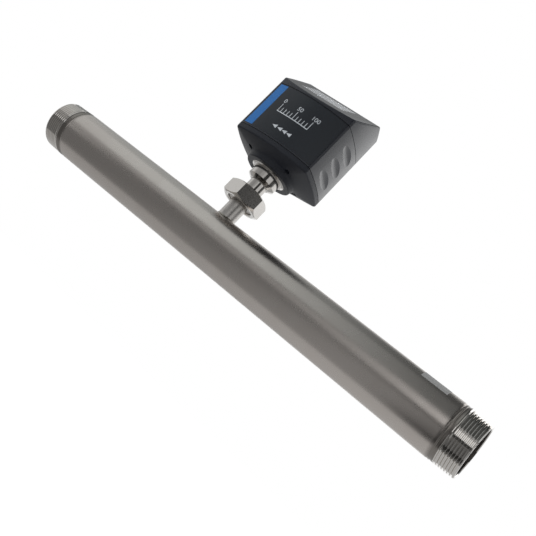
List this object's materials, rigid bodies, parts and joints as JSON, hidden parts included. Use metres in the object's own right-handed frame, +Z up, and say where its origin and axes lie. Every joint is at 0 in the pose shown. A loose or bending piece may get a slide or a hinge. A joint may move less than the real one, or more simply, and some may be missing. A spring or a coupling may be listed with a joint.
{
  "type": "inline flow meter",
  "caption": "Inline thermal flow meter: threaded stainless pipe section with a union-mounted sensor head in a barrel-sided plastic housing with slanted display.",
  "frame": {"origin": "crossing of the flow bore axis and the sensor shaft axis", "axes": "+X along the pipe to its inlet end, so the gas flows towards -X; +Z up the sensor shaft to the housing; the labelled front looks towards -Y"},
  "size_m": [0.475, 0.0843, 0.2032],
  "materials": {
    "stainless_pipe": "satin drawn stainless tube",
    "polished_steel": "bright turned stainless",
    "turned_steel": "fine turned stainless",
    "seal_rubber": "matt black elastomer",
    "header_plastic": "black moulded plastic",
    "sensor_ceramic": "glazed ceramic",
    "housing_plastic": "charcoal satin moulding",
    "label_film": "charcoal printed film",
    "panel_film": "grey membrane film",
    "display_glass": "clear hard-coated window",
    "module_plastic": "dark display frame",
    "circuit_board": "green solder resist",
    "screw_steel": "plain steel",
    "nickel_brass": "nickel-plated brass",
    "gold_contact": "gold-plated pin"
  },
  "bodies": {
    "pipe_section": {"measuring_pipe": "stainless_pipe", "weld_socket": "polished_steel", "key_pin": "polished_steel"},
    "sensor_head": {"probe_shank": "polished_steel", "spigot_seal": "seal_rubber", "guard_tube": "polished_steel", "sensor_header": "header_plastic", "heated_element": "sensor_ceramic", "reference_element": "sensor_ceramic", "stop_collar": "polished_steel", "base_disc": "polished_steel", "base_seal": "seal_rubber", "lock_nut": "turned_steel", "housing_base": "housing_plastic", "lower_gasket": "seal_rubber", "housing_body": "housing_plastic", "upper_gasket": "seal_rubber", "housing_hood": "housing_plastic", "front_label": "label_film", "display_panel": "panel_film", "display_window": "display_glass", "display_module": "module_plastic", "display_board": "circuit_board", "display_screws": "screw_steel", "main_board": "circuit_board", "board_screws": "screw_steel", "housing_screws": "screw_steel", "connector_shell_left": "nickel_brass", "connector_seal_left": "seal_rubber", "connector_insert_left": "header_plastic", "connector_contacts_left": "gold_contact", "connector_nut_left": "nickel_brass", "connector_shell_right": "nickel_brass", "connector_seal_right": "seal_rubber", "connector_insert_right": "header_plastic", "connector_contacts_right": "gold_contact", "connector_nut_right": "nickel_brass"},
    "union_nut": {"union_nut": "turned_steel"}
  },
  "joints": [
    {"name": "head_lift", "type": "slide", "parent": "pipe_section", "child": "sensor_head", "axis": [0, 0, 1], "range_m": [0, 0.06]},
    {"name": "nut_turn", "type": "hinge", "parent": "sensor_head", "child": "union_nut", "pos_m": [0, 0, 0.0484], "axis": [0, 0, 1], "continuous": true}
  ]
}
